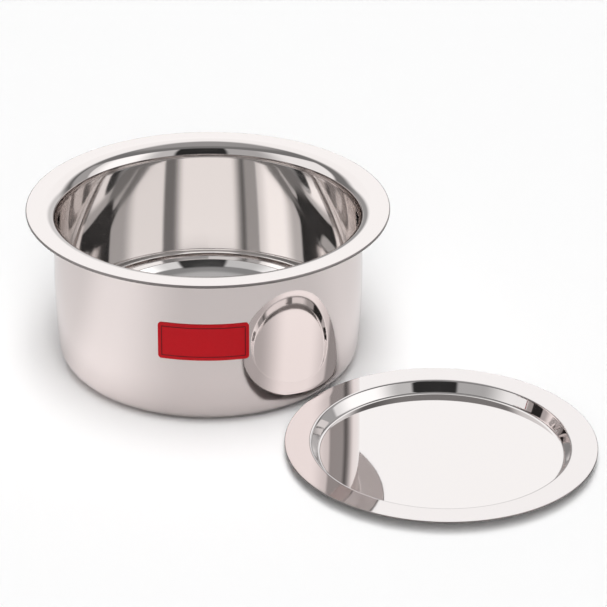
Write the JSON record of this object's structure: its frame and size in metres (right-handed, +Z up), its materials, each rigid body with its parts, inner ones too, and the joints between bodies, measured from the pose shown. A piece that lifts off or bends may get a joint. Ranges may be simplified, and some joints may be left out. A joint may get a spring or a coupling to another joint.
{
  "type": "cooking pot with lid",
  "caption": "Low flanged steel cooking pot with a thick base, a round base corner and a blank red label, and its flat sunk lid taken off and laid beside it.",
  "frame": {"origin": "centre of the pot's flat base, on the surface that the pot stands on", "axes": "+Z up along the pot's axis, -Y towards the label, +X to the right of someone facing the label"},
  "size_m": [0.3055, 0.2977, 0.0932],
  "materials": {
    "polished_steel": "mirror-polished stainless steel",
    "red_label": "glossy red sticker, bare of print"
  },
  "bodies": {
    "pot": {"pot_body": "polished_steel", "label": "red_label"},
    "lid": {"lid": "polished_steel"}
  },
  "joints": [
    {"name": "lid_lift", "type": "slide", "parent": "pot", "child": "lid", "axis": [0.5163, -0.4831, 0.7071], "range_m": [0, 0.15]}
  ]
}
